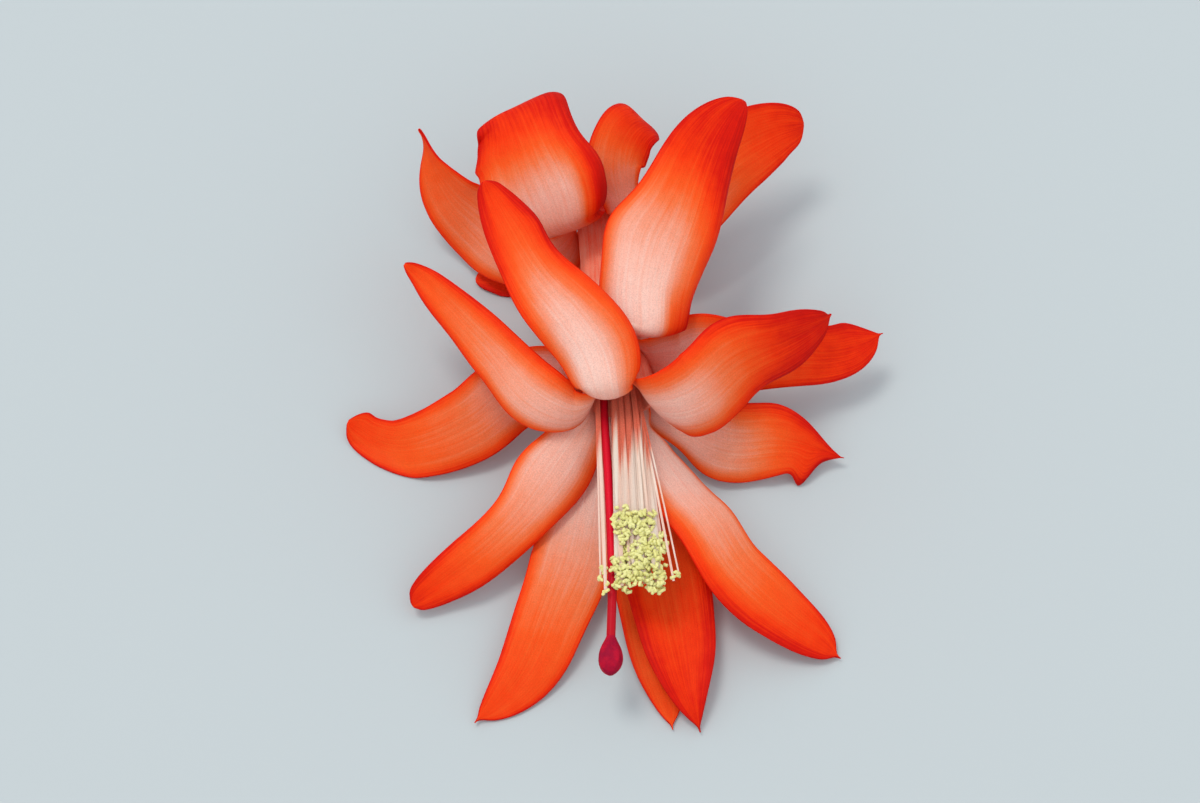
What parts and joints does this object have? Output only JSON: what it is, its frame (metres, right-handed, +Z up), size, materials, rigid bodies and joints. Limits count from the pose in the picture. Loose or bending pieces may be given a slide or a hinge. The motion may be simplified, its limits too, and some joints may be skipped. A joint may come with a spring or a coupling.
{
  "type": "christmas cactus flower",
  "caption": "Picked Christmas cactus flower lying on its side: ovary, floral tube, rows of open tepals, stamens, style and stigma.",
  "frame": {"origin": "on the surface that the flower lies on, under the centre of its box", "axes": "+Z up from the surface; -Y the way the mouth of the flower looks, with the ovary at the +Y end; +X to the right as the mouth is looked at"},
  "size_m": [0.06, 0.073, 0.0244],
  "materials": {
    "ovary": "satin",
    "tube": "satin",
    "tepal": "satin",
    "style": "satin",
    "stigma": "satin",
    "stamen": "satin"
  },
  "bodies": {
    "root": {"ovary": "ovary", "floral_tube": "tube", "inner_tepal_top": "tepal", "inner_tepal_upper_left": "tepal", "inner_tepal_lower_left": "tepal", "inner_tepal_bottom_left": "tepal", "inner_tepal_bottom_right": "tepal", "inner_tepal_lower_right": "tepal", "inner_tepal_upper_right": "tepal", "outer_tepal_top_right": "tepal", "outer_tepal_upper_right": "tepal", "outer_tepal_lower_right": "tepal", "outer_tepal_bottom": "tepal", "outer_tepal_left": "tepal", "basal_tepal_top_left": "tepal", "basal_tepal_top": "tepal", "basal_tepal_left": "tepal", "basal_tepal_right": "tepal", "basal_tepal_bottom_left": "tepal", "basal_tepal_bottom_right": "tepal", "style": "style", "stigma": "stigma", "stamens": "stamen"}
  },
  "joints": []
}
